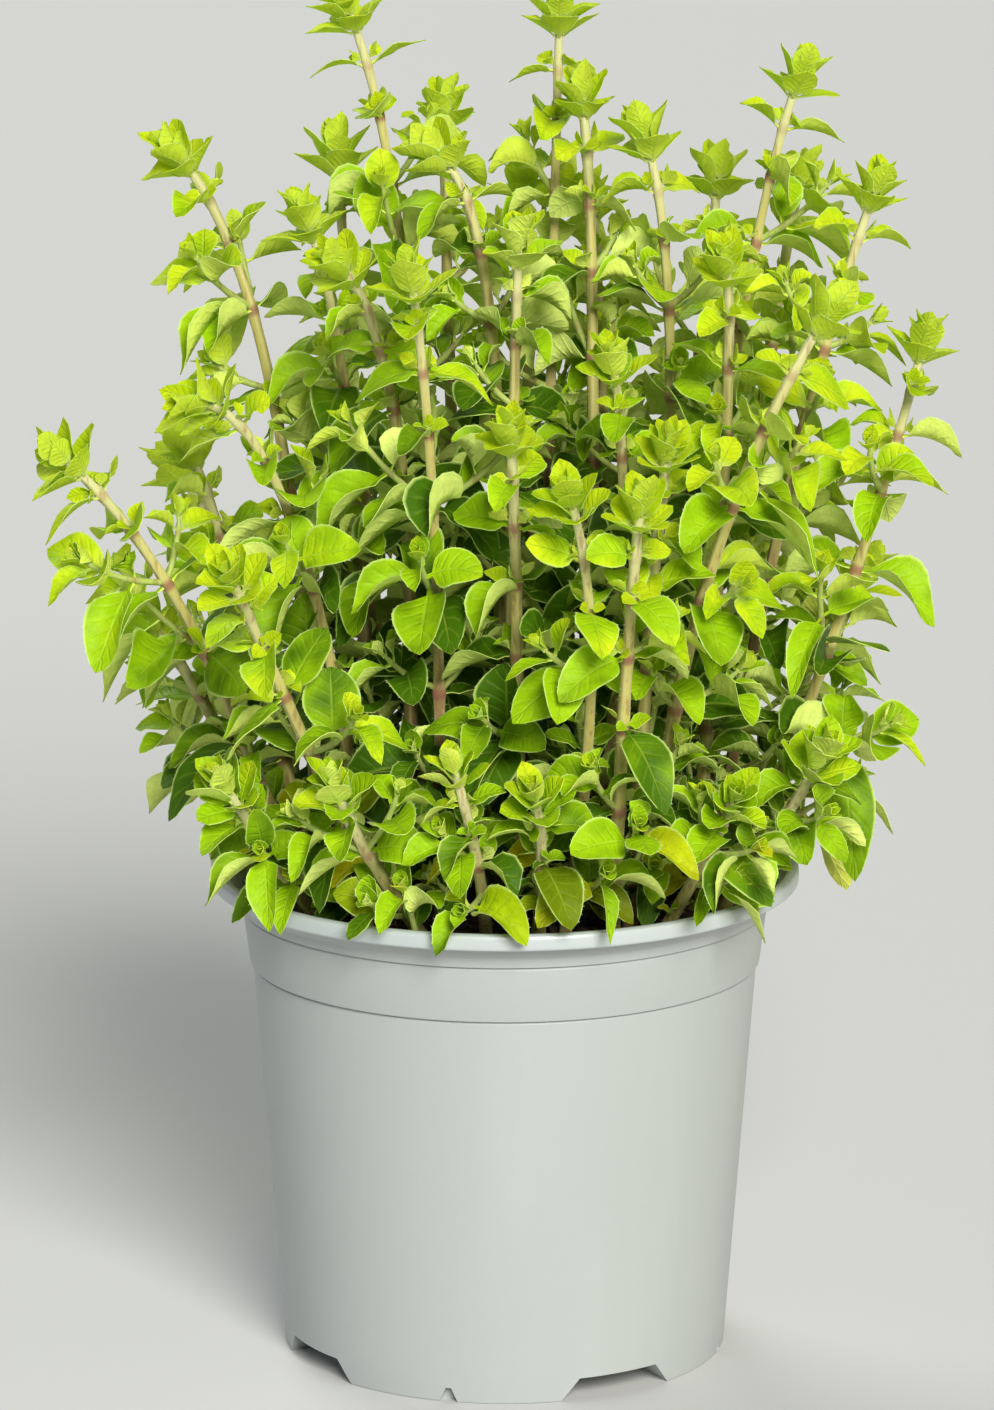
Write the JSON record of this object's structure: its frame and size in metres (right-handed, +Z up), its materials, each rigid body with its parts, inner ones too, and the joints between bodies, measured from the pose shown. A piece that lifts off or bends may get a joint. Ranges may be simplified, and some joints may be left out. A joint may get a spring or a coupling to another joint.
{
  "type": "potted herb plant",
  "caption": "Bushy oregano plant in a round plastic nursery pot with a rolled rim and notched feet: square leafy shoots with opposite ovate leaves and a tuft at each tip.",
  "frame": {"origin": "on the ground, below the middle of the whole plant's bounding box", "axes": "+Z up, -Y towards the viewer, +X to the viewer's right"},
  "size_m": [0.1974, 0.1658, 0.2968],
  "materials": {
    "pot_plastic": "satin",
    "potting_mix": "matte",
    "foliage": "matte",
    "stalk": "matte"
  },
  "bodies": {
    "root": {"pot": "pot_plastic", "potting_mix": "potting_mix", "shoot_01": "foliage", "shoot_02": "foliage", "shoot_03": "foliage", "shoot_04": "foliage", "shoot_05": "foliage", "shoot_06": "foliage", "shoot_07": "foliage", "shoot_08": "foliage", "shoot_09": "foliage", "shoot_10": "foliage", "shoot_11": "foliage", "shoot_12": "foliage", "shoot_13": "foliage", "shoot_14": "foliage", "shoot_15": "foliage", "shoot_16": "foliage", "shoot_17": "foliage", "shoot_18": "foliage", "shoot_19": "foliage", "shoot_20": "foliage", "shoot_21": "foliage", "shoot_22": "foliage", "shoot_23": "foliage", "shoot_24": "foliage", "shoot_25": "foliage", "shoot_26": "foliage", "shoot_27": "foliage", "shoot_28": "foliage", "shoot_29": "foliage", "shoot_30": "foliage", "shoot_31": "foliage", "shoot_32": "foliage", "shoot_33": "foliage", "shoot_34": "foliage", "shoot_35": "foliage", "shoot_36": "foliage", "shoot_37": "foliage", "shoot_38": "foliage", "shoot_39": "foliage", "shoot_40": "foliage", "shoot_41": "foliage", "shoot_42": "foliage"}
  },
  "joints": []
}
